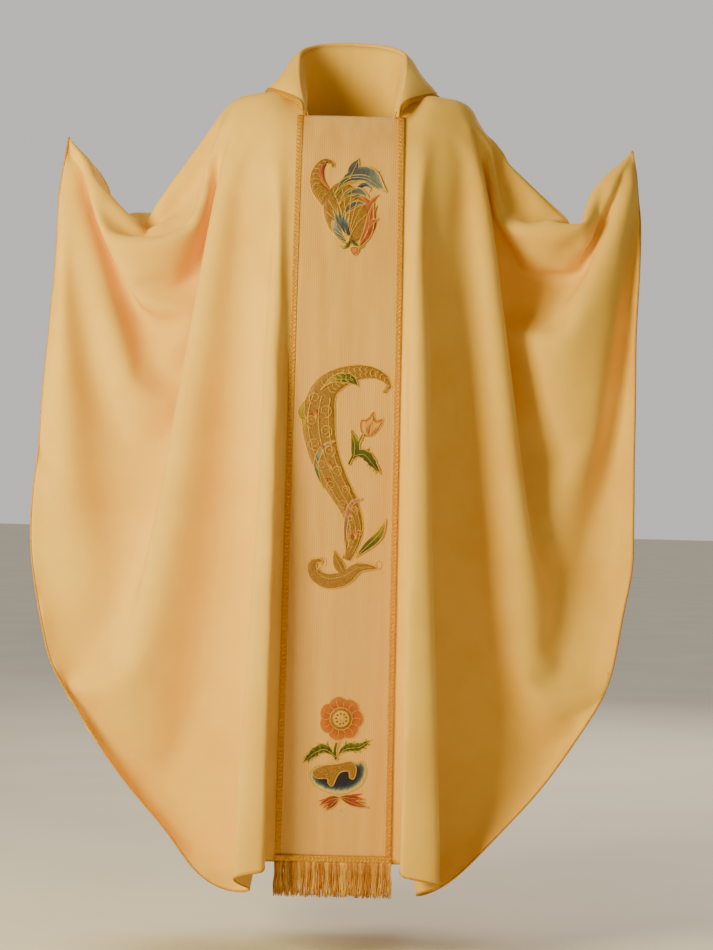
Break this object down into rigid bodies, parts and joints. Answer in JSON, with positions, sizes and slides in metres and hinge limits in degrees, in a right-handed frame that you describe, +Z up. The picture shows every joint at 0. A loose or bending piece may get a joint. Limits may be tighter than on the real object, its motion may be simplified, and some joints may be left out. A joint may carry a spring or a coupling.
{
  "type": "chasuble",
  "caption": "Full-cut church vestment in cream cloth: turned-down collar, embroidered front panel edged in gold braid, gold hem piping and fringe.",
  "frame": {"origin": "middle of the shoulder line, at the base of the neck, where the garment rests on its wearer", "axes": "+Z up, the front faces -Y, +X to the right of someone facing the front"},
  "size_m": [1.017, 0.3998, 1.4037],
  "materials": {
    "cream_cloth": "soft matt wool-blend weave, warm cream",
    "panel_satin": "smooth pinkish cream satin with fine vertical ribs",
    "lining_cloth": "plain matt cotton",
    "gold_braid": "woven metallic gold braid and piping",
    "gold_fringe": "loose shiny gold silk threads",
    "gold_thread": "couched antique gold thread",
    "blue_thread": "satin stitch, dark blue shading to pale blue",
    "coral_thread": "satin stitch, coral",
    "orange_thread": "satin stitch, orange shading to yellow",
    "green_thread": "satin stitch, olive green shading to yellow",
    "mauve_thread": "satin stitch, mauve",
    "pearl_bead": "small pearly beads"
  },
  "bodies": {
    "vestment": {"front_left_cloth": "cream_cloth", "front_right_cloth": "cream_cloth", "back_left_cloth": "cream_cloth", "back_right_cloth": "cream_cloth", "collar_fall": "cream_cloth", "collar_stand": "cream_cloth", "left_shoulder_tape": "lining_cloth", "right_shoulder_tape": "lining_cloth", "front_panel_interlining": "lining_cloth", "back_panel_interlining": "lining_cloth", "collar_interfacing": "lining_cloth", "front_panel_satin": "panel_satin", "back_panel_satin": "panel_satin", "front_panel_braid_left": "gold_braid", "front_panel_braid_right": "gold_braid", "back_panel_braid_left": "gold_braid", "back_panel_braid_right": "gold_braid", "front_left_hem_piping": "gold_braid", "front_right_hem_piping": "gold_braid", "back_left_hem_piping": "gold_braid", "back_right_hem_piping": "gold_braid", "front_fringe_heading": "gold_braid", "back_fringe_heading": "gold_braid", "collar_braid": "gold_braid", "crest_shell": "gold_thread", "scroll_horn": "gold_thread", "scroll_foot": "gold_thread", "flower_ring": "gold_thread", "flower_heart": "gold_thread", "posy_froth": "gold_thread", "crest_plume_top": "blue_thread", "crest_plume_middle": "blue_thread", "crest_plume_low": "blue_thread", "crest_fan": "blue_thread", "scroll_blue_band": "blue_thread", "posy_bowl": "blue_thread", "crest_leaf": "coral_thread", "crest_bud": "coral_thread", "flower_petals": "coral_thread", "posy_tuft": "coral_thread", "tulip_bloom": "orange_thread", "scroll_cap_leaf": "green_thread", "scroll_side_leaf": "green_thread", "scroll_low_leaf": "green_thread", "tulip_leaves": "green_thread", "flower_leaves": "green_thread", "scroll_mauve_band": "mauve_thread", "posy_bead_1": "pearl_bead", "posy_bead_2": "pearl_bead", "posy_bead_3": "pearl_bead"},
    "front_fringe": {"front_fringe_threads": "gold_fringe"},
    "back_fringe": {"back_fringe_threads": "gold_fringe"}
  },
  "joints": [
    {"name": "front_fringe_swing", "type": "hinge", "parent": "vestment", "child": "front_fringe", "pos_m": [0, -0.14255, -1.236], "axis": [-1, 0, 0], "range_deg": [-5, 60]},
    {"name": "back_fringe_swing", "type": "hinge", "parent": "vestment", "child": "back_fringe", "pos_m": [0, 0.14255, -1.236], "axis": [1, 0, 0], "range_deg": [-5, 60]}
  ]
}
